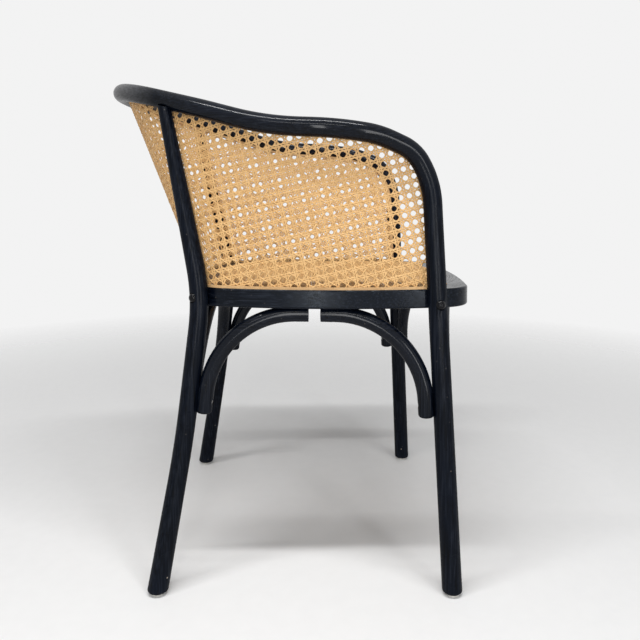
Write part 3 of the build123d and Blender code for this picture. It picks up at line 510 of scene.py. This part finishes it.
def clipped_runs(panel, line, rise):
    """The stretches of a strand that lie on the panel, each run out to the panel's edge."""
    inside = panel.map(line)[2]
    edges = np.flatnonzero(np.diff(np.concatenate(([False], inside, [False])).astype(int)))
    for start, stop in zip(edges[::2], edges[1::2]):
        points = [line[i] for i in range(start, stop)]
        rises = list(rise[start:stop])
        if start > 0:
            points.insert(0, edge_point(panel, line[start], line[start - 1]))
            rises.insert(0, rise[start])
        if stop < len(line):
            points.append(edge_point(panel, line[stop - 1], line[stop]))
            rises.append(rise[stop - 1])
        if len(points) > 2:
            yield np.array(points), np.array(rises)


def edge_point(panel, inner, outer):
    """The last point on the panel between a point on it and one off it."""
    for _ in range(EDGE_ROUNDS):
        middle = (inner + outer) / 2
        if panel.map(middle[None, :])[2][0]:
            inner = middle
        else:
            outer = middle
    return inner


# A strand's section: place across, and place through it
SECTION = [(-1.0, 0.0), (-0.55, -1.0), (0.55, -1.0), (1.0, 0.0), (0.55, 1.0), (-0.55, 1.0)]


def unit(vectors):
    return vectors / np.maximum(np.linalg.norm(vectors, axis=1, keepdims=True), 1e-12)


def strand_mesh(panel, lines, width):
    """Vertices, faces and strand coordinates of one family of strands."""
    vertices, faces, coordinates = [], [], []
    for line, rise in lines:
        for points, rises in clipped_runs(panel, line, rise):
            places, normals, _ = panel.map(points)
            along = unit(np.gradient(places, axis=0))
            side = unit(np.cross(along, normals))
            centre = places + normals * rises[:, None]
            run = np.concatenate(([0.0], np.cumsum(np.linalg.norm(np.diff(places, axis=0), axis=1))))
            run = run + random.uniform(0, 400)
            wide = width * random.uniform(0.92, 1.06) / 2
            first = len(vertices)
            for j in range(len(points)):
                for across, through in SECTION:
                    point = centre[j] + side[j] * across * wide + normals[j] * through * STRAND_THICKNESS / 2
                    vertices.append(point)
                    coordinates.append((run[j], across))
            size = len(SECTION)
            for j in range(len(points) - 1):
                base = first + j * size
                for k in range(size):
                    after = (k + 1) % size
                    faces.append((base + k, base + after, base + size + after, base + size + k))
            faces.append(tuple(range(first + size - 1, first - 1, -1)))
            last = first + (len(points) - 1) * size
            faces.append(tuple(range(last, last + size)))
    return vertices, faces, coordinates


def woven(panel, node, material):
    """The panel's strands, one piece for each family."""
    low, high = panel.extent()
    for family, lines in strand_lines(low, high).items():
        width = DIAGONAL_WIDTH if family.startswith("diagonals") else STRAND_WIDTH
        vertices, faces, coordinates = strand_mesh(panel, lines, width)
        name = f"{node}_{family}"
        mesh = bpy.data.meshes.new(name)
        mesh.from_pydata(vertices, [], faces)
        layer = mesh.uv_layers.new(name="strand")
        corners = np.empty(len(mesh.loops), dtype=np.int32)
        mesh.loops.foreach_get("vertex_index", corners)
        layer.data.foreach_set("uv", np.array(coordinates, dtype=np.float32)[corners].ravel())
        mesh.shade_smooth()
        mesh.materials.append(material)
        piece = bpy.data.objects.new(name, mesh)
        bpy.context.scene.collection.objects.link(piece)
        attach(piece, "root")
        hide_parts(node)


def dress(material, *nodes):
    """Gives CAD nodes a material."""
    for node in nodes:
        NODES[node].data.materials.clear()
        NODES[node].data.materials.append(material)


BRACKETS = [
    f"{kind}_{side}"
    for kind in ("side_bracket_front", "side_bracket_rear", "front_bracket", "back_bracket")
    for side in ("left", "right")
]
dress(lacquer("lacquer_rail", 0.64, polish_from=0.60, painted_reflection_from=0.20), "bent_rail")
dress(lacquer("lacquer_legs", ABOVE_CHAIR), "rear_leg_left", "rear_leg_right")
dress(lacquer("lacquer_ring", 0.2, shine=0.09, satin=0.22, streak=0.5), "seat_ring")
dress(lacquer("lacquer_brackets", 0.36, polish_from=0.24), *BRACKETS)
dress(reed_material(), "back_cane_rail_reed", "back_cane_ring_reed", "seat_cane_reed")
dress(bolt_material(), "front_leg_bolts", "rear_leg_bolts")
dress(zinc_material(), "bolt_washers", "bolt_nuts", "bracket_leg_screws", "bracket_seat_screws")
dress(dowel_material(), "rear_leg_dowels")
dress(glide_material(), "floor_glides")
CANE = cane_material()
woven(BackPanel(), "back_cane", CANE)
woven(SeatPanel(), "seat_cane", CANE)


# Stage, light and camera


def floor():
    """A pale floor that fades into the backdrop away from the chair."""
    g = Graph("pale_floor")
    place = g.place()
    x, y, _ = g.split(place)
    reach = g.reach(x, y)
    speck = g.noise(place, 40.0, 4.0)
    g.set(Base_Color=g.blend(speck, color(0.80, 0.80, 0.80), color(0.84, 0.84, 0.84)), Roughness=0.7)
    clear = g.node("ShaderNodeBsdfTransparent").outputs[0]
    mix = g.node("ShaderNodeMixShader", {0: g.ramp(reach, FLOOR_SOLID, FLOOR_GONE)})
    g.put(mix.inputs[1], g.shader.outputs[0])
    g.put(mix.inputs[2], clear)
    g.put(g.tree.nodes["Material Output"].inputs[0], mix.outputs[0])
    mesh = bpy.data.meshes.new("floor")
    half = FLOOR_HALF
    corners = [(-half, -half, 0), (half, -half, 0), (half, half, 0), (-half, half, 0)]
    mesh.from_pydata(corners, [], [(0, 1, 2, 3)])
    mesh.materials.append(g.material)
    piece = bpy.data.objects.new("floor", mesh)
    bpy.context.scene.collection.objects.link(piece)


def backdrop():
    """A pale world, seen by the camera and in reflections, with a plain level of light."""
    world = bpy.data.worlds.new("studio")
    bpy.context.scene.world = world
    world.use_nodes = True
    tree = world.node_tree
    light = tree.nodes["Background"]
    light.inputs[0].default_value = color(1.0, 1.0, 1.0)
    light.inputs[1].default_value = WORLD_LIGHT
    shown = tree.nodes.new("ShaderNodeBackground")
    shown.inputs[0].default_value = color(BACKDROP_TONE, BACKDROP_TONE, BACKDROP_TONE)
    path = tree.nodes.new("ShaderNodeLightPath")
    seen = path.outputs["Is Camera Ray"]
    for name in ("Is Glossy Ray", "Is Transmission Ray"):
        either = tree.nodes.new("ShaderNodeMath")
        either.operation = "MAXIMUM"
        tree.links.new(seen, either.inputs[0])
        tree.links.new(path.outputs[name], either.inputs[1])
        seen = either.outputs[0]
    mix = tree.nodes.new("ShaderNodeMixShader")
    tree.links.new(seen, mix.inputs[0])
    tree.links.new(light.outputs[0], mix.inputs[1])
    tree.links.new(shown.outputs[0], mix.inputs[2])
    tree.links.new(mix.outputs[0], tree.nodes["World Output"].inputs[0])


def soft_light(name, place, aim, width, height, power):
    """A plain rectangular lamp."""
    lamp = bpy.data.lights.new(name, "AREA")
    lamp.shape = "RECTANGLE"
    lamp.size, lamp.size_y = width, height
    lamp.energy = power
    made = bpy.data.objects.new(name, lamp)
    made.location = place
    made.rotation_euler = (Vector(aim) - Vector(place)).to_track_quat("-Z", "Y").to_euler()
    bpy.context.scene.collection.objects.link(made)


def camera():
    """The photograph's viewpoint: level with the arms, on the sitter's right."""
    data = bpy.data.cameras.new("camera")
    data.sensor_width = CAMERA_SENSOR
    data.lens = CAMERA_LENS
    data.shift_y = CAMERA_SHIFT
    made = bpy.data.objects.new("camera", data)
    level = math.cos(CAMERA_PITCH)
    forward = Vector((math.cos(CAMERA_YAW) * level, math.sin(CAMERA_YAW) * level, -math.sin(CAMERA_PITCH)))
    made.location = CAMERA_PLACE
    made.rotation_euler = forward.to_track_quat("-Z", "Y").to_euler()
    bpy.context.scene.collection.objects.link(made)
    bpy.context.scene.camera = made


floor()
backdrop()
soft_light("ceiling_strip", (-0.7, 0.15, 2.4), (-0.3, 0.15, 0.6), 2.1, 0.10, 44)
soft_light("wall_strip", (-2.6, 0.4, 2.2), (-0.2, 0.4, 0.6), 2.5, 0.12, 17)
soft_light("window_left", (-2.5, 0.25, 0.65), (0, 0, 0.5), 0.35, 1.2, 15)
soft_light("window_right", (-2.3, -1.3, 0.65), (0, 0, 0.5), 0.35, 1.2, 15)
camera()
bpy.context.scene.view_settings.view_transform = "Standard"
